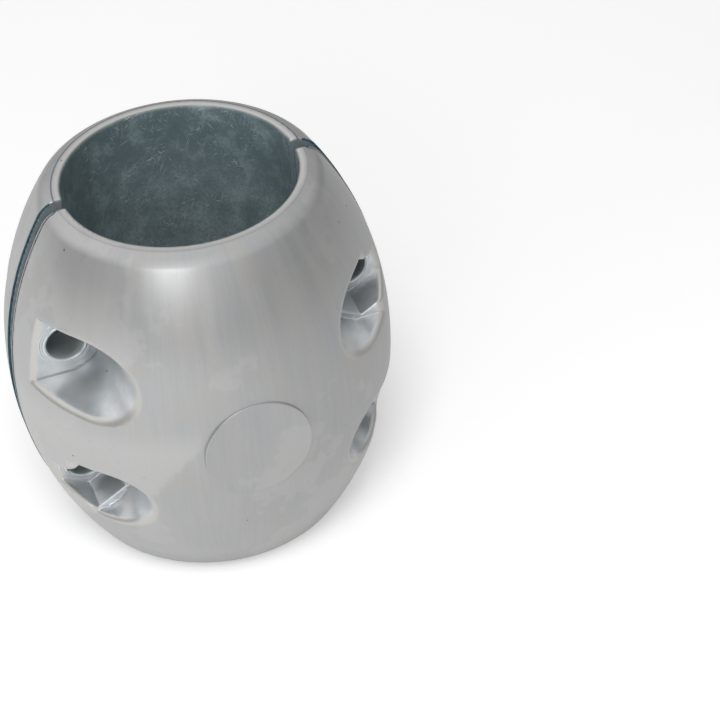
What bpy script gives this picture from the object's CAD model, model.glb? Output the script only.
"""Shaft collar anode: two zinc castings, standing on a pale floor as they do in the photograph.

Metres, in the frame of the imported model: Z runs up the shaft, the halves part along Y = 0, and the
front half looks towards -Y. Materials work in millimetres, which each of them makes from Object
coordinates.
"""
from math import pi

import bpy
import numpy as np
from mathutils import Matrix, Vector


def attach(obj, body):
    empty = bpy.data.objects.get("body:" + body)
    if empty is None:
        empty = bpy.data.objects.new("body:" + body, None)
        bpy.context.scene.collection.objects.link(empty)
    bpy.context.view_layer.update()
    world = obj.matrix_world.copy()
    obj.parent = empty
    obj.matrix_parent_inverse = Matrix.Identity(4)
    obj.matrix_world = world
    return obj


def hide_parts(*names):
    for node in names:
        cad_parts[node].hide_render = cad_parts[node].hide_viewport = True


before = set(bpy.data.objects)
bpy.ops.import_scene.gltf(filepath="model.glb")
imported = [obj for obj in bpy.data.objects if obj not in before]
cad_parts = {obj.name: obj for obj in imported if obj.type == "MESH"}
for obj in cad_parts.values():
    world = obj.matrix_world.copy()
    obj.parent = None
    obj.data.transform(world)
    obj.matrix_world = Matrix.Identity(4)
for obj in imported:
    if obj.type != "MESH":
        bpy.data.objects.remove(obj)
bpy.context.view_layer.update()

MM = 0.001

# The casting, in millimetres, as the CAD has it
LENGTH = 122.0
OUTER_R = 59.5
BORE_R = 35.0
END_R = 42.0             # corner of the end face, before it is rounded
END_FALL = 2.0
ARC_R = ((OUTER_R - END_R) ** 2 + (LENGTH / 2 - END_FALL) ** 2) / (2 * (OUTER_R - END_R))
GAP = 4.4                # between the parting faces
BOLT_U, BOLT_V = 44.3, 23.1          # from the middle of the casting to a bolt
HOLE_R = 6.0
FLOOR = 16.2             # pocket floor, from the parting plane
LEDGE = 27.6             # floor above a nut trap
SLOT_R = 10.6
NUT_R = 8.2
DRAFT = 4 * pi / 180
PLATE_R, PLATE_TOP = 16.5, 58.5
LINE_R = 37.9            # the fine line on the end faces

# Rounds of the visible casting, in millimetres
CORNER_ROUND = 1.1       # barrel to end face, small because that corner is a blunt one
LINE_ROUND = 0.3         # end face, at the fine line
BORE_ROUND = 1.2
PARTING_ROUND = 0.6
POCKET_ROUND = 2.0       # rolled edge where a pocket breaks through the barrel
FLOOR_ROUND = 0.15       # pocket floor to pocket wall
LEDGE_ROUND = 0.45       # nut trap to the slot above it
HOLE_ROUND = 0.4
PLATE_ROUND = 0.35
WAVINESS = 0.05          # how far the skin strays from its true shape
PLATE_UNDER = 0.3        # the net stays this far under the plate's face
PLATE_INSIDE = 0.8       # and is cut back this far inside the plate's rim

# The net of the casting, in millimetres
NET_STEP = 0.85
NEAR_STEP = 0.02         # for the slope that draws a point onto the surface
NORMAL_STEP = 0.25       # for the normal
DRAWS = 4

# Flash on the parting edges
FLASH_SEED = 7
FLASH_REACH = 0.6        # how far it reaches into the gap where the sum of its waves is 1
FLASH_POINTS = 1500
FLASH_ARC = 1.68         # radians to each side of the middle, seen from SECTION_MIDDLE
SECTION_MIDDLE = 46      # a radius inside the barrel's section

# Strengths of the white surroundings
MATT_LIGHT = 0.36        # as a light on matt surfaces
LOW_WALLS = 0.36         # in reflections near the ground
RIGHT_WALLS = 0.6        # in reflections at the right
DARK_PATCH = 0.3         # in reflections at the left
FLOOR_WHITE = 0.34       # added to the floor where the camera sees it
FLOOR_LEFT, FLOOR_RIGHT = 0.26, 0.02          # added to the floor in reflections


# Shader nodes

def node(tree, kind, inputs=(), **settings):
    """One shader node. inputs pairs a socket with a value or with another node's output socket."""
    made = tree.nodes.new("ShaderNode" + kind)
    for name, value in settings.items():
        setattr(made, name, value)
    for socket, value in dict(inputs).items():
        if isinstance(value, bpy.types.NodeSocket):
            tree.links.new(value, made.inputs[socket])
        else:
            made.inputs[socket].default_value = value
    return made


def maths(tree, operation, *values, clamp=False):
    """A Math node's result."""
    return node(tree, "Math", enumerate(values), operation=operation, use_clamp=clamp).outputs[0]


def mixed(tree, factor, low, high):
    """A colour between low and high."""
    made = node(tree, "Mix", {0: factor, 6: low, 7: high}, data_type="RGBA")
    return made.outputs[2]


def between(tree, value, low, high, to_low=0.0, to_high=1.0):
    """value, taken from the range low..high to the range to_low..to_high, and held there."""
    pairs = {0: value, 1: low, 2: high, 3: to_low, 4: to_high}
    return node(tree, "MapRange", pairs, interpolation_type="SMOOTHSTEP").outputs[0]


def new_group(name, inputs, outputs):
    """An empty node group with named sockets; returns the tree, its input node and its output node."""
    tree = bpy.data.node_groups.new(name, "ShaderNodeTree")
    for label, kind, value in inputs:
        socket = tree.interface.new_socket(label, in_out="INPUT", socket_type="NodeSocket" + kind)
        socket.default_value = value
    for label, kind in outputs:
        tree.interface.new_socket(label, in_out="OUTPUT", socket_type="NodeSocket" + kind)
    return tree, tree.nodes.new("NodeGroupInput"), tree.nodes.new("NodeGroupOutput")


def grouped(tree, group, inputs=()):
    """A node that places a group in a material."""
    made = tree.nodes.new("ShaderNodeGroup")
    made.node_tree = group
    for socket, value in dict(inputs).items():
        if isinstance(value, bpy.types.NodeSocket):
            tree.links.new(value, made.inputs[socket])
        else:
            made.inputs[socket].default_value = value
    return made


def casting_zones():
    """Where on the casting a point is: masks for the bore, the parting face, the bolt holes, the
    pockets with their rolled edges and corners, the fine line and the pale patch, the depth below the
    barrel's outline, and the place on the skin as millimetres round the barrel and up it."""
    tree, _, out = new_group("casting_zones", (), (
        ("Bore", "Float"), ("Parting", "Float"), ("Depth", "Float"), ("Round", "Float"),
        ("Height", "Float"), ("Hole", "Float"), ("Corner", "Float"), ("Rim Line", "Float"),
        ("Pocket", "Float"), ("Rolled", "Float"), ("Patch", "Float")))
    coord = node(tree, "TexCoord").outputs["Object"]
    place = node(tree, "Mapping", {"Vector": coord, "Scale": (1 / MM, 1 / MM, 1 / MM)}).outputs[0]
    x, y, z = node(tree, "SeparateXYZ", {0: place}).outputs
    radius = maths(tree, "SQRT", maths(tree, "ADD", maths(tree, "MULTIPLY", x, x),
                                       maths(tree, "MULTIPLY", y, y)))
    up = maths(tree, "SUBTRACT", z, LENGTH / 2)
    reach = maths(tree, "SQRT", maths(tree, "SUBTRACT", ARC_R ** 2, maths(tree, "MULTIPLY", up, up)))
    outline = maths(tree, "ADD", maths(tree, "SUBTRACT", reach, ARC_R), OUTER_R)
    depth = maths(tree, "SUBTRACT", outline, radius)
    bore = between(tree, radius, BORE_R + 0.3, BORE_R + 1.0, 1.0, 0.0)
    beside = maths(tree, "ABSOLUTE", y)
    parting = between(tree, beside, GAP / 2 + 0.02, GAP / 2 + 0.3, 1.0, 0.0)
    angle = maths(tree, "ARCTAN2", y, x)
    out_u = maths(tree, "SUBTRACT", maths(tree, "ABSOLUTE", x), BOLT_U)
    out_v = maths(tree, "SUBTRACT", maths(tree, "ABSOLUTE", up), BOLT_V)
    from_bolt = maths(tree, "SQRT", maths(tree, "ADD", maths(tree, "MULTIPLY", out_u, out_u),
                                          maths(tree, "MULTIPLY", out_v, out_v)))
    in_hole = maths(tree, "MULTIPLY", between(tree, from_bolt, HOLE_R + 0.1, HOLE_R + 0.6, 1.0, 0.0),
                    between(tree, beside, FLOOR - 0.5, FLOOR, 1.0, 0.0))
    inner_u = maths(tree, "MINIMUM", out_u, 0.0)
    rim = maths(tree, "SQRT", maths(tree, "ADD", maths(tree, "MULTIPLY", inner_u, inner_u),
                                    maths(tree, "MULTIPLY", out_v, out_v)))
    at_wall = between(tree, rim, SLOT_R - 0.7, SLOT_R - 0.1)
    not_end = between(tree, maths(tree, "ABSOLUTE", up), LENGTH / 2 - 12, LENGTH / 2 - 10, 1.0, 0.0)
    from_plate = maths(tree, "SQRT", maths(tree, "ADD", maths(tree, "MULTIPLY", x, x),
                                           maths(tree, "MULTIPLY", up, up)))
    not_end = maths(tree, "MULTIPLY", not_end, between(tree, from_plate, PLATE_R + 1, PLATE_R + 2))
    pocket = maths(tree, "MULTIPLY", between(tree, depth, 0.6, 2.2), not_end)
    rolled = maths(tree, "MULTIPLY", between(tree, depth, 0.15, 0.5),
                   between(tree, depth, 1.3, 2.4, 1.0, 0.0))
    rolled = maths(tree, "MULTIPLY", rolled, not_end)
    lip = maths(tree, "MULTIPLY", between(tree, radius, BORE_R + 0.2, BORE_R + 0.7),
                between(tree, radius, BORE_R + 1.5, BORE_R + 2.4, 1.0, 0.0))
    lip = maths(tree, "MULTIPLY", lip, between(tree, maths(tree, "ABSOLUTE", up), LENGTH / 2 - 2,
                                               LENGTH / 2 - 1.2))
    rolled = maths(tree, "MAXIMUM", rolled, lip)
    ragged = node(tree, "TexNoise", {"Vector": place, "Scale": 0.22, "Detail": 9.0,
                                     "Roughness": 0.78}).outputs[0]
    slanted = node(tree, "VectorMath", {0: place, 1: (-0.817, 0.0, 0.577)},
                   operation="DOT_PRODUCT").outputs["Value"]
    edge = maths(tree, "ADD", slanted, maths(tree, "MULTIPLY", ragged, 8.0))
    patch = maths(tree, "MULTIPLY", between(tree, edge, 54.5, 57.5),
                  between(tree, z, 62.0, 74.0, 1.0, 0.0))
    patch = maths(tree, "MULTIPLY", patch, between(tree, y, -8.0, -4.0, 1.0, 0.0))
    at_wall = maths(tree, "MULTIPLY", at_wall, pocket)
    from_floor = maths(tree, "ABSOLUTE", maths(tree, "SUBTRACT", beside, FLOOR))
    at_floor = between(tree, from_floor, 0.2, 0.8, 1.0, 0.0)
    corner = maths(tree, "MULTIPLY", at_wall, at_floor)
    from_line = maths(tree, "ABSOLUTE", maths(tree, "SUBTRACT", radius, LINE_R))
    line = between(tree, from_line, 0.12, 0.4, 1.0, 0.0)
    line = maths(tree, "MULTIPLY", line, between(tree, maths(tree, "ABSOLUTE", up), LENGTH / 2 - 1.5,
                                                 LENGTH / 2 - 0.8))
    line = maths(tree, "MULTIPLY", line, between(tree, y, -2.0, 2.0, 0.3, 1.0))
    for label, value in (("Bore", bore), ("Parting", parting), ("Depth", depth),
                         ("Round", maths(tree, "MULTIPLY", angle, OUTER_R)), ("Height", z),
                         ("Hole", in_hole), ("Corner", corner), ("Rim Line", line),
                         ("Pocket", pocket), ("Rolled", rolled), ("Patch", patch)):
        tree.links.new(value, out.inputs[label])
    return tree


def drawn_streaks():
    """Fine streaks that run up the casting, where it left the die: noise stretched along the height."""
    tree, given, out = new_group("drawn_streaks", (
        ("Round", "Float", 0.0), ("Height", "Float", 0.0), ("Width", "Float", 1.0),
        ("Length", "Float", 20.0)), (("Tone", "Float"),))
    across = maths(tree, "DIVIDE", given.outputs["Round"], given.outputs["Width"])
    along = maths(tree, "DIVIDE", given.outputs["Height"], given.outputs["Length"])
    place = node(tree, "CombineXYZ", {0: across, 1: along}).outputs[0]
    noise = node(tree, "TexNoise", {"Vector": place, "Scale": 1.0, "Detail": 3.0, "Roughness": 0.6})
    tree.links.new(noise.outputs[0], out.inputs["Tone"])
    return tree


def mottle():
    """Cloudy patches, as on the skin of a casting that has lain in a box: a noise about 0.5."""
    tree, given, out = new_group("mottle", (("Size", "Float", 10.0), ("Contrast", "Float", 1.0),
                                            ("Detail", "Float", 5.0)), (("Tone", "Float"),))
    coord = node(tree, "TexCoord").outputs["Object"]
    scale = maths(tree, "DIVIDE", 1 / MM, given.outputs["Size"])
    noise = node(tree, "TexNoise", {"Vector": coord, "Scale": scale, "Detail": given.outputs["Detail"],
                                    "Roughness": 0.62})
    spread = maths(tree, "MULTIPLY", maths(tree, "SUBTRACT", noise.outputs[0], 0.5),
                   given.outputs["Contrast"])
    tree.links.new(maths(tree, "ADD", spread, 0.5, clamp=True), out.inputs["Tone"])
    return tree


def pits():
    """Small round pits, scattered: cells of a Voronoi texture, few of which are kept by their colour."""
    tree, given, out = new_group("pits", (("Spacing", "Float", 6.0), ("Size", "Float", 0.1),
                                          ("Kept", "Float", 0.6)), (("Mask", "Float"),))
    coord = node(tree, "TexCoord").outputs["Object"]
    scale = maths(tree, "DIVIDE", 1 / MM, given.outputs["Spacing"])
    cells = node(tree, "TexVoronoi", {"Vector": coord, "Scale": scale})
    hole = maths(tree, "LESS_THAN", cells.outputs["Distance"], given.outputs["Size"])
    some = node(tree, "SeparateColor", {0: cells.outputs["Color"]}).outputs[0]
    keep = maths(tree, "GREATER_THAN", some, given.outputs["Kept"])
    tree.links.new(maths(tree, "MULTIPLY", hole, keep), out.inputs["Mask"])
    return tree


def scratches():
    """Short fine scratches of three slants: noise drawn out along each, kept only where it is high and
    where a broad noise is high, so that they come in patches."""
    tree, given, out = new_group("scratches", (("Round", "Float", 0.0), ("Height", "Float", 0.0)),
                                 (("Mask", "Float"),))
    masks = []
    for slant, long, fine in ((0.15, 5.0, 0.42), (-0.7, 3.6, 0.36), (1.6, 3.0, 0.40)):
        risen = maths(tree, "MULTIPLY", given.outputs["Round"], slant)
        up = maths(tree, "ADD", given.outputs["Height"], risen)
        place = node(tree, "CombineXYZ", {0: maths(tree, "DIVIDE", given.outputs["Round"], long),
                                          1: maths(tree, "DIVIDE", up, fine), 2: slant * 9}).outputs[0]
        noise = node(tree, "TexNoise", {"Vector": place, "Scale": 1.0, "Detail": 1.0})
        masks.append(between(tree, noise.outputs[0], 0.66, 0.78))
    coord = node(tree, "TexCoord").outputs["Object"]
    broad = node(tree, "TexNoise", {"Vector": coord, "Scale": 0.09 / MM, "Detail": 2.0})
    patch = between(tree, broad.outputs[0], 0.42, 0.62)
    lines = maths(tree, "MAXIMUM", maths(tree, "MAXIMUM", masks[0], masks[1]), masks[2])
    tree.links.new(maths(tree, "MULTIPLY", lines, patch), out.inputs["Mask"])
    return tree


GROUPS = {make.__name__: make() for make in (casting_zones, drawn_streaks, mottle, pits, scratches)}


# Colours of the casting: outside, in the pockets, in the bore and on the parting faces
SKIN_DARK, SKIN_LIGHT = (0.432, 0.438, 0.448, 1), (0.474, 0.474, 0.472, 1)
SKIN_WARM, SKIN_STAIN = (0.462, 0.450, 0.428, 1), (0.520, 0.520, 0.518, 1)
SKIN_PATCH, SKIN_GRAIN = (0.565, 0.562, 0.558, 1), (0.38, 0.38, 0.375, 1)
POCKET_DARK, POCKET_LIGHT = (0.60, 0.63, 0.655, 1), (0.79, 0.80, 0.805, 1)
POCKET_DEEP, POCKET_EDGE = (0.33, 0.36, 0.375, 1), (0.64, 0.62, 0.58, 1)
CORNER_DIRT, LINE_DIRT, PIT_DIRT = (0.16, 0.17, 0.175, 1), (0.12, 0.15, 0.22, 1), (0.17, 0.16, 0.14, 1)
BORE_TOP, BORE_LOW = (0.165, 0.228, 0.246, 1), (0.37, 0.45, 0.475, 1)
BORE_SMOKY, BORE_CLOUD = (0.40, 0.50, 0.53, 1), (0.13, 0.175, 0.185, 1)
BORE_SPECK, BORE_SCRATCH = (0.15, 0.20, 0.21, 1), (0.74, 0.83, 0.87, 1)
HOLE_GREY = (0.30, 0.345, 0.345, 1)
FACE_DARK, FACE_LIGHT = (0.028, 0.070, 0.092, 1), (0.070, 0.145, 0.180, 1)


def zinc_casting():
    """Die cast zinc: satin outside with fine streaks, darker and greyer in the bore and on the parting
    faces, brighter on the walls of the pockets."""
    material = bpy.data.materials.new("zinc_casting")
    material.use_nodes = True
    tree = material.node_tree
    shader = tree.nodes["Principled BSDF"]
    zone = grouped(tree, GROUPS["casting_zones"]).outputs
    skin = {"Round": zone["Round"], "Height": zone["Height"]}
    fine = grouped(tree, GROUPS["drawn_streaks"], {**skin, "Width": 1.1, "Length": 26.0}).outputs[0]
    broad = grouped(tree, GROUPS["drawn_streaks"], {**skin, "Width": 7.0, "Length": 60.0}).outputs[0]
    cloud = grouped(tree, GROUPS["mottle"], {"Size": 16.0, "Contrast": 2.0}).outputs[0]
    grain = grouped(tree, GROUPS["mottle"], {"Size": 1.6, "Contrast": 1.6, "Detail": 1.5}).outputs[0]
    speck = grouped(tree, GROUPS["mottle"], {"Size": 0.9, "Contrast": 2.0, "Detail": 1.0}).outputs[0]
    stain = grouped(tree, GROUPS["mottle"], {"Size": 55.0, "Contrast": 3.5}).outputs[0]
    marks = grouped(tree, GROUPS["scratches"], skin).outputs[0]
    hole = grouped(tree, GROUPS["pits"], {"Spacing": 5.0, "Size": 0.07, "Kept": 0.94}).outputs[0]
    pocket = zone["Pocket"]

    tone = maths(tree, "ADD", maths(tree, "MULTIPLY", fine, 0.45), maths(tree, "MULTIPLY", broad, 0.55))
    outside = mixed(tree, between(tree, tone, 0.35, 0.65), SKIN_DARK, SKIN_LIGHT)
    outside = mixed(tree, between(tree, cloud, 0.45, 1.0, 0.0, 0.8), outside, SKIN_WARM)
    outside = mixed(tree, between(tree, stain, 0.62, 0.70, 0.0, 0.5), outside, SKIN_STAIN)
    outside = mixed(tree, maths(tree, "MULTIPLY", zone["Patch"], 0.65), outside, SKIN_PATCH)
    outside = mixed(tree, between(tree, grain, 0.70, 1.0, 0.0, 0.4), outside, SKIN_GRAIN)
    shiny = mixed(tree, between(tree, cloud, 0.2, 0.8), POCKET_DARK, POCKET_LIGHT)
    shiny = mixed(tree, between(tree, zone["Depth"], 6.0, 15.0, 0.0, 0.55), shiny, POCKET_DEEP)
    outside = mixed(tree, pocket, outside, shiny)
    outside = mixed(tree, maths(tree, "MULTIPLY", zone["Rolled"], 0.55), outside, POCKET_EDGE)
    outside = mixed(tree, maths(tree, "MULTIPLY", zone["Corner"], 0.7), outside, CORNER_DIRT)
    outside = mixed(tree, maths(tree, "MULTIPLY", zone["Rim Line"], 0.85), outside, LINE_DIRT)
    outside = mixed(tree, hole, outside, PIT_DIRT)
    smoky = grouped(tree, GROUPS["mottle"], {"Size": 7.0, "Contrast": 3.0, "Detail": 4.0}).outputs[0]
    low = between(tree, zone["Height"], LENGTH - 2, LENGTH - 60, 0.0, 0.85)
    dull = mixed(tree, low, BORE_TOP, BORE_LOW)
    dull = mixed(tree, between(tree, smoky, 0.35, 1.0, 0.0, 0.55), dull, BORE_SMOKY)
    dull = mixed(tree, between(tree, cloud, 0.65, 0.1, 0.0, 0.55), dull, BORE_CLOUD)
    dull = mixed(tree, between(tree, speck, 0.3, 0.9, 0.0, 0.5), dull, BORE_SPECK)
    dull = mixed(tree, maths(tree, "MULTIPLY", marks, 0.85), dull, BORE_SCRATCH)
    faces = mixed(tree, speck, FACE_DARK, FACE_LIGHT)
    colour = mixed(tree, zone["Bore"], outside, dull)
    colour = mixed(tree, zone["Parting"], colour, faces)
    colour = mixed(tree, zone["Hole"], colour, HOLE_GREY)
    tree.links.new(colour, shader.inputs["Base Color"])

    inner = maths(tree, "MAXIMUM", zone["Bore"], zone["Parting"])
    dim = maths(tree, "MAXIMUM", inner, zone["Hole"])
    rough = between(tree, broad, 0.3, 0.7, 0.34, 0.40)
    rough = maths(tree, "SUBTRACT", rough, maths(tree, "MULTIPLY", pocket, 0.05))
    rough = maths(tree, "ADD", rough, maths(tree, "MULTIPLY", dim, 0.22))
    tree.links.new(rough, shader.inputs["Roughness"])
    metal = maths(tree, "SUBTRACT", 0.68, maths(tree, "MULTIPLY", dim, 0.43))
    metal = maths(tree, "SUBTRACT", metal, maths(tree, "MULTIPLY", zone["Parting"], 0.25), clamp=True)
    gleam = maths(tree, "SUBTRACT", 0.5, maths(tree, "MULTIPLY", zone["Parting"], 0.5))
    tree.links.new(gleam, shader.inputs["Specular IOR Level"])
    tree.links.new(metal, shader.inputs["Metallic"])

    relief = maths(tree, "MULTIPLY", grain, 0.16)
    ridges = maths(tree, "MULTIPLY", marks, maths(tree, "MULTIPLY", inner, 0.3))
    relief = maths(tree, "ADD", relief, ridges)
    relief = maths(tree, "SUBTRACT", relief, maths(tree, "MULTIPLY", hole, 1.2))
    bump = node(tree, "Bump", {"Height": relief, "Strength": 0.5, "Distance": 0.12 * MM})
    tree.links.new(bump.outputs[0], shader.inputs["Normal"])
    return material


# The castings: u runs across, w out from the parting plane and v up from the middle

def meet(a, b, radius):
    """Rounded intersection of two solids, given as signed distances that are negative inside: where
    both are within radius of the surface, the distance is taken from a circle of that radius."""
    a, b = a + radius, b + radius
    return np.minimum(np.maximum(a, b), 0) + np.hypot(np.maximum(a, 0), np.maximum(b, 0)) - radius


def section(r, v):
    """Signed distance to the barrel's section: its outline, the end faces that fall away outside the
    fine line, and the bore."""
    high = np.abs(v) - LENGTH / 2
    end = ((r - LINE_R) * END_FALL + high * (END_R - LINE_R)) / np.hypot(END_FALL, END_R - LINE_R)
    solid = meet(np.hypot(r - OUTER_R + ARC_R, v) - ARC_R, end, CORNER_ROUND)
    return meet(meet(solid, high, LINE_ROUND), BORE_R - r, BORE_ROUND)


def casting_field(u, w, v):
    """Signed distance to one casting: a barrel of revolution, less the bore and the side beyond the
    parting face, less two plain slots and two slots with a nut trap, each with rolled edges."""
    solid = section(np.hypot(u, w), v) + WAVINESS * (
        1 + np.sin(u / 9.1 + 1.3 * np.sin(v / 13.7)) * np.cos(v / 10.3 + w / 17.9))
    solid = meet(solid, GAP / 2 - w, PARTING_ROUND)
    flat = np.hypot(u, v) - PLATE_R + PLATE_INSIDE
    solid = np.maximum(solid, -np.maximum(flat, PLATE_TOP - PLATE_UNDER - w))
    cuts = []
    for side, level, nut in ((-1, 1, False), (1, -1, False), (1, 1, True), (-1, -1, True)):
        a, b = side * u - BOLT_U, v - level * BOLT_V
        beside = np.where(a < 0, np.hypot(a, b), np.abs(b))
        wide = SLOT_R + (w - FLOOR) * np.tan(DRAFT)
        bottom = LEDGE if nut else FLOOR
        slot = meet((beside - wide) * np.cos(DRAFT), bottom - w, FLOOR_ROUND)
        cut = meet(solid, -slot, POCKET_ROUND)
        if nut:
            sides = np.maximum(np.abs(a) / 2 + np.sqrt(0.75) * np.abs(b), -a)
            wide = NUT_R + (w - FLOOR) * np.tan(DRAFT)
            trap = meet((sides - wide) * np.cos(DRAFT), FLOOR - w, FLOOR_ROUND)
            cut = meet(cut, meet(solid, -trap, POCKET_ROUND), LEDGE_ROUND)
        cut = meet(cut, HOLE_R - np.hypot(a, b), HOLE_ROUND)
        cuts.append(cut)
    return np.maximum(np.maximum(cuts[0], cuts[1]), np.maximum(cuts[2], cuts[3]))


def slopes(place, step=NEAR_STEP):
    """The field's gradient at points, from central differences, and the field there."""
    grad = np.stack([casting_field(*(place + step * axis).T) - casting_field(*(place - step * axis).T)
                     for axis in np.eye(3)], -1) / (2 * step)
    return grad, casting_field(*place.T)


def surface_net(step):
    """The casting's surface as a net: the field is taken on a cubic grid, each cell that the surface
    crosses gets one point, first at the mean of where it crosses the cell's edges and then drawn
    onto the surface along the gradient, and each crossed grid edge gets the quad of its four cells.
    Returns the points, their normals and the quads."""
    low = np.array([-OUTER_R - 1.0, GAP / 2 - 1.1, -LENGTH / 2 - 1.13])
    counts = np.ceil((np.array([OUTER_R + 1, OUTER_R + 1, LENGTH / 2 + 1.2]) - low) / step).astype(int)
    axes = [low[i] + step * np.arange(counts[i]) for i in range(3)]
    field = casting_field(*np.meshgrid(*axes, indexing="ij"))
    cells = tuple(counts - 1)
    total, number = np.zeros(cells + (3,)), np.zeros(cells)
    edges = []
    for axis in range(3):
        near = np.moveaxis(field, axis, 0)[:-1]
        far = np.moveaxis(field, axis, 0)[1:]
        crossed = np.argwhere((near < 0) != (far < 0))
        one, two = near[tuple(crossed.T)], far[tuple(crossed.T)]
        order = [axis] + [i for i in range(3) if i != axis]
        grid = np.empty_like(crossed)
        grid[:, order] = crossed
        inner = np.all((grid > 0) & (grid < np.array(cells)), axis=1)
        grid, one, two = grid[inner], one[inner], two[inner]
        where = grid.astype(float)
        where[:, axis] += one / (one - two)
        ring = []
        for back_1, back_2 in ((0, 0), (1, 0), (1, 1), (0, 1)):
            cell = grid.copy()
            cell[:, (axis + 1) % 3] -= back_1
            cell[:, (axis + 2) % 3] -= back_2
            np.add.at(total, tuple(cell.T), where)
            np.add.at(number, tuple(cell.T), 1)
            ring.append(np.ravel_multi_index(tuple(cell.T), cells))
        ring = np.stack(ring, -1)
        ring[one < 0] = ring[one < 0, ::-1]
        edges.append(ring)
    used = np.flatnonzero(number.ravel())
    place = low + step * total.reshape(-1, 3)[used] / number.ravel()[used, None]
    for _ in range(DRAWS):
        grad, depth = slopes(place)
        place = place - grad * (depth / np.maximum((grad ** 2).sum(1), 0.2))[:, None]
    grad, _ = slopes(place, NORMAL_STEP)
    names = np.zeros(number.size, int)
    names[used] = np.arange(len(used))
    quads = names[np.vstack(edges)]
    return place, grad / np.linalg.norm(grad, axis=1)[:, None], quads


def from_mould(place, side):
    """Points or directions of a casting, taken from (u, w, v) to (x, y, z). side is 1 for the front
    half and -1 for the rear one, which is the same casting turned half round the shaft."""
    u, w, v = place.T
    return np.stack([side * u, -side * w, v], -1)


def new_piece(name, points, quads, material, normals=None):
    """A mesh object with its place in its mesh, from points in millimetres; it rides on the root."""
    mesh = bpy.data.meshes.new(name)
    mesh.from_pydata((points * MM).tolist(), [], quads.tolist())
    mesh.polygons.foreach_set("use_smooth", np.ones(len(mesh.polygons), bool))
    mesh.materials.append(material)
    mesh.update()
    if normals is not None:
        mesh.normals_split_custom_set_from_vertices(normals.tolist())
    piece = bpy.data.objects.new(name, mesh)
    bpy.context.scene.collection.objects.link(piece)
    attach(piece, "root")
    return piece


def turned(profile, middle, around):
    """A profile of (radius, w) pairs turned about a line along w through middle, as points and quads."""
    turns = np.arange(around) * 2 * pi / around
    radius, w = np.array(profile, float).T
    ring, turn = np.meshgrid(np.arange(len(radius)), np.arange(around), indexing="ij")
    points = np.stack([middle[0] + radius[ring] * np.cos(turns[turn]), w[ring],
                       middle[1] + radius[ring] * np.sin(turns[turn])], -1).reshape(-1, 3)
    ring, turn = ring[:-1], turn[:-1]
    nxt = (turn + 1) % around
    quads = np.stack([ring * around + turn, ring * around + nxt, (ring + 1) * around + nxt,
                      (ring + 1) * around + turn], -1).reshape(-1, 4)
    return points, quads


def joined(parts):
    """Several (points, quads) pairs as one."""
    starts = np.cumsum([0] + [len(p) for p, _ in parts[:-1]])
    return np.vstack([p for p, _ in parts]), np.vstack([q + n for (_, q), n in zip(parts, starts)])


def seat_rings():
    """Round each bolt hole, the ring that the die left: a low lip at the hole and two finer ridges."""
    radius = np.linspace(HOLE_R - 0.08, HOLE_R + 2.6, 46)
    lip = 0.30 * np.exp(-((radius - HOLE_R - 0.45) / 0.34) ** 2)
    fine = 0.12 * np.exp(-((radius - HOLE_R - 1.35) / 0.2) ** 2) + 0.08 * np.exp(
        -((radius - HOLE_R - 2.0) / 0.18) ** 2)
    fall = 0.08 - 0.5 * np.clip((radius - HOLE_R - 2.2) / 0.4, 0, 1) ** 2
    height = lip + fine + fall
    profile = [(HOLE_R - 0.08, FLOOR - 2.5)] + list(zip(radius, FLOOR + height))
    return joined([turned(profile, (u, v), 96) for u in (-BOLT_U, BOLT_U) for v in (-BOLT_V, BOLT_V)])


def round_plate():
    """The bare round plate: a flat face with a small round at its rim, and a short wall."""
    turn = np.linspace(0, pi / 2, 7)
    rim = [(PLATE_R - PLATE_ROUND + PLATE_ROUND * np.sin(t), PLATE_TOP - PLATE_ROUND +
            PLATE_ROUND * np.cos(t)) for t in turn]
    face = [(r, PLATE_TOP) for r in np.linspace(0.02, PLATE_R - 0.6, 24)]
    return turned(face + rim + [(PLATE_R, PLATE_TOP - 3.0)], (0, 0), 192)


def parting_flash(seed):
    """Ragged flash on both parting edges: along the barrel's section, found on lines out of its
    middle by halving, runs a thin wedge that reaches into the gap by a sum of sines where positive."""
    angle = np.linspace(-FLASH_ARC, FLASH_ARC, FLASH_POINTS)
    near, far = np.zeros_like(angle), np.full_like(angle, 90.0)
    for _ in range(34):
        half = (near + far) / 2
        inside = section(SECTION_MIDDLE + half * np.cos(angle), half * np.sin(angle)) < 0
        near, far = np.where(inside, half, near), np.where(inside, far, half)
    r, v = SECTION_MIDDLE + near * np.cos(angle), near * np.sin(angle)
    step = np.hypot(np.gradient(r), np.gradient(v))
    along = np.cumsum(step)
    out_r, out_v = np.gradient(v) / step, -np.gradient(r) / step
    dice = np.random.default_rng(seed)
    strips = []
    for side in (-1, 1):
        waves = dice.uniform(1.6, 16.0, 14), dice.uniform(0, 2 * pi, 14)
        tall = np.sin(2 * pi * along[:, None] / waves[0] + waves[1]).sum(1) / 3.4
        tall = np.clip(0.16 + 0.42 * tall, 0.0, 1.1)
        rows = []
        for sunk, w in ((0.75, GAP / 2 + 0.05), (0.10, GAP / 2 - FLASH_REACH * tall),
                        (0.02, GAP / 2 - 0.8 * FLASH_REACH * tall), (0.03, GAP / 2 + 0.75)):
            rr, vv = r - sunk * out_r, v - sunk * out_v
            rows.append(np.stack([side * np.sqrt(rr ** 2 - w ** 2), w + 0 * rr, vv], -1))
        points = np.stack(rows, 1).reshape(-1, 3)
        at = np.arange(len(r) - 1)[:, None] * 4 + np.arange(3)[None, :]
        quads = np.stack([at, at + 1, at + 5, at + 4], -1).reshape(-1, 4)
        strips.append((points, quads if side > 0 else quads[:, ::-1]))
    return joined(strips)


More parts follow.
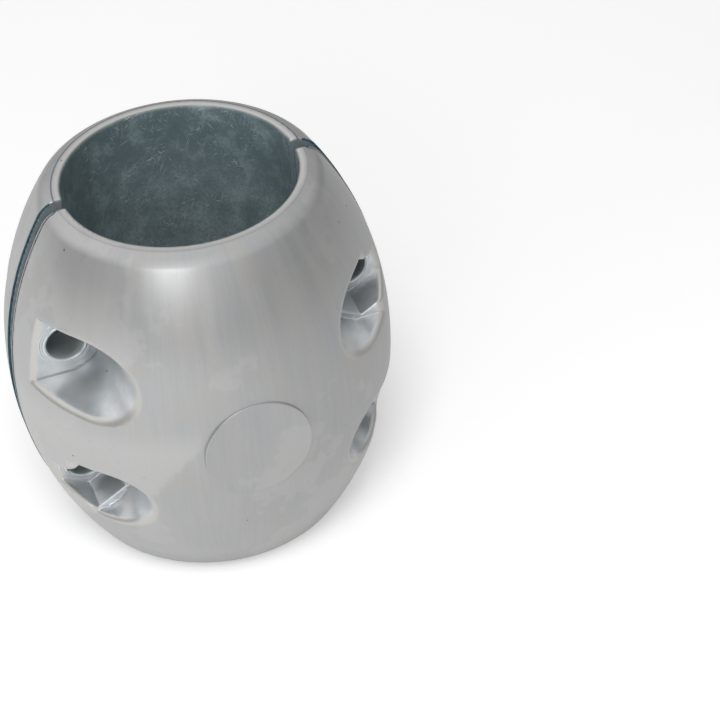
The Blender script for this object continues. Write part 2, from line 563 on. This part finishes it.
zinc = zinc_casting()
net, net_normals, net_quads = surface_net(NET_STEP)
for name, side in (("front_half", 1), ("rear_half", -1)):
    points = from_mould(net, side) + np.array([0, 0, LENGTH / 2])
    piece = new_piece(name + "_casting", points, net_quads, zinc, from_mould(net_normals, side))
    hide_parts(name)
    for label, (small, quads) in (("seat_rings", seat_rings()), ("round_plate", round_plate()),
                                  ("parting_flash", parting_flash(FLASH_SEED + side))):
        raised = from_mould(small, side) + np.array([0, 0, LENGTH / 2])
        new_piece(name + "_" + label, raised, quads, zinc)


# Floor, light and camera

def pale_floor():
    """A round, flat and pale floor: rings of points round the object, in metres."""
    rings = np.array([0.3, 0.8, 2.0, 5.0, 12.0, 24.0])
    around = 96
    turns = np.arange(around) * 2 * pi / around
    r, t = np.meshgrid(rings, turns, indexing="ij")
    points = np.stack([r * np.cos(t), r * np.sin(t), np.zeros_like(r)], -1).reshape(-1, 3)
    points = np.vstack([points, [[0, 0, 0]]])
    ring, turn = np.meshgrid(np.arange(len(rings) - 1), np.arange(around), indexing="ij")
    nxt = (turn + 1) % around
    quads = np.stack([ring * around + turn, (ring + 1) * around + turn, (ring + 1) * around + nxt,
                      ring * around + nxt], -1).reshape(-1, 4)
    middle = [[i, (i + 1) % around, len(points) - 1] for i in range(around)]
    mesh = bpy.data.meshes.new("pale_floor")
    mesh.from_pydata(points.tolist(), [], quads.tolist() + middle)
    floor = bpy.data.objects.new("pale_floor", mesh)
    bpy.context.scene.collection.objects.link(floor)
    material = bpy.data.materials.new("pale_floor")
    material.use_nodes = True
    tree = material.node_tree
    shader = tree.nodes["Principled BSDF"]
    shader.inputs["Base Color"].default_value = (0.86, 0.86, 0.86, 1)
    shader.inputs["Roughness"].default_value = 0.9
    shader.inputs["Specular IOR Level"].default_value = 0.1
    path = node(tree, "LightPath").outputs
    clear = maths(tree, "ADD", path["Is Camera Ray"], path["Is Transmission Ray"])
    along = node(tree, "SeparateXYZ", {0: node(tree, "TexCoord").outputs["Object"]}).outputs[0]
    mirrored = maths(tree, "MULTIPLY", path["Is Glossy Ray"],
                     between(tree, along, -0.25, 0.2, FLOOR_LEFT, FLOOR_RIGHT))
    strength = maths(tree, "ADD", maths(tree, "MULTIPLY", clear, FLOOR_WHITE), mirrored)
    glow = node(tree, "Emission", {"Color": (1, 1, 1, 1), "Strength": strength})
    both = node(tree, "AddShader", {0: shader.outputs[0], 1: glow.outputs[0]})
    tree.links.new(both.outputs[0], tree.nodes["Material Output"].inputs["Surface"])
    mesh.materials.append(material)


def white_room():
    """The world: white to the camera, softer as a light on matt surfaces, and in reflections white
    above, darker near the ground and at the right, with one darker patch at the left."""
    world = bpy.data.worlds.new("white_room")
    bpy.context.scene.world = world
    world.use_nodes = True
    tree = world.node_tree
    path = node(tree, "LightPath").outputs
    way = node(tree, "TexCoord").outputs["Generated"]
    right, _, up = node(tree, "SeparateXYZ", {0: way}).outputs
    walls = maths(tree, "MULTIPLY", between(tree, up, 0.0, 0.7, LOW_WALLS, 1.0),
                  between(tree, right, 0.0, 0.9, 1.0, RIGHT_WALLS))
    dark = node(tree, "VectorMath", {0: way, 1: (-0.97, -0.18, 0.08)},
                operation="DOT_PRODUCT").outputs["Value"]
    walls = maths(tree, "MULTIPLY", walls, between(tree, dark, 0.60, 0.96, 1.0, DARK_PATCH))
    clear = maths(tree, "ADD", path["Is Camera Ray"], path["Is Transmission Ray"])
    seen = maths(tree, "ADD", clear, maths(tree, "MULTIPLY", path["Is Glossy Ray"], walls))
    matt = maths(tree, "SUBTRACT", maths(tree, "SUBTRACT", 1.0, clear), path["Is Glossy Ray"], clamp=True)
    strength = maths(tree, "ADD", seen, maths(tree, "MULTIPLY", matt, MATT_LIGHT))
    shader = tree.nodes["Background"]
    shader.inputs["Color"].default_value = (1, 1, 1, 1)
    tree.links.new(strength, shader.inputs["Strength"])


def soft_lamp(name, place, target, size, power, mirrored=True):
    """An area lamp at place that looks at target. Where it isn't mirrored, no surface reflects it."""
    lamp = bpy.data.lights.new(name, "AREA")
    lamp.shape = "RECTANGLE"
    lamp.size, lamp.size_y = size
    lamp.energy = power
    made = bpy.data.objects.new(name, lamp)
    bpy.context.scene.collection.objects.link(made)
    made.visible_glossy = mirrored
    away = (Vector(place) - Vector(target)).to_track_quat("Z", "Y")
    made.matrix_world = Matrix.Translation(place) @ away.to_matrix().to_4x4()


def photo_camera():
    """The camera as fitted to the photograph: its place, and its directions right, up and back."""
    data = bpy.data.cameras.new("photo_camera")
    data.sensor_width = 36.0
    data.lens = 124.74
    data.clip_start = 0.01
    camera = bpy.data.objects.new("photo_camera", data)
    bpy.context.scene.collection.objects.link(camera)
    right = Vector((0.93509, -0.35022, -0.05425))
    up = Vector((0.26385, 0.58576, 0.76633))
    back = Vector((-0.23661, -0.73091, 0.64015))
    axes = Matrix((right, up, back)).transposed().to_4x4()
    camera.matrix_world = Matrix.Translation((-0.1385, -0.5875, 0.5467)) @ axes
    bpy.context.scene.camera = camera


pale_floor()
white_room()
soft_lamp("key", (-0.82, -1.45, 1.12), (0, 0, 0.08), (0.8, 0.5), 5.6)
soft_lamp("from_above", (-0.30, -0.80, 1.60), (0, 0, 0.08), (0.6, 0.6), 13, mirrored=False)
soft_lamp("left_wash", (-1.5, -0.8, 0.20), (0, 0, 0.05), (0.8, 0.4), 9, mirrored=False)
photo_camera()
bpy.context.scene.view_settings.view_transform = "Standard"
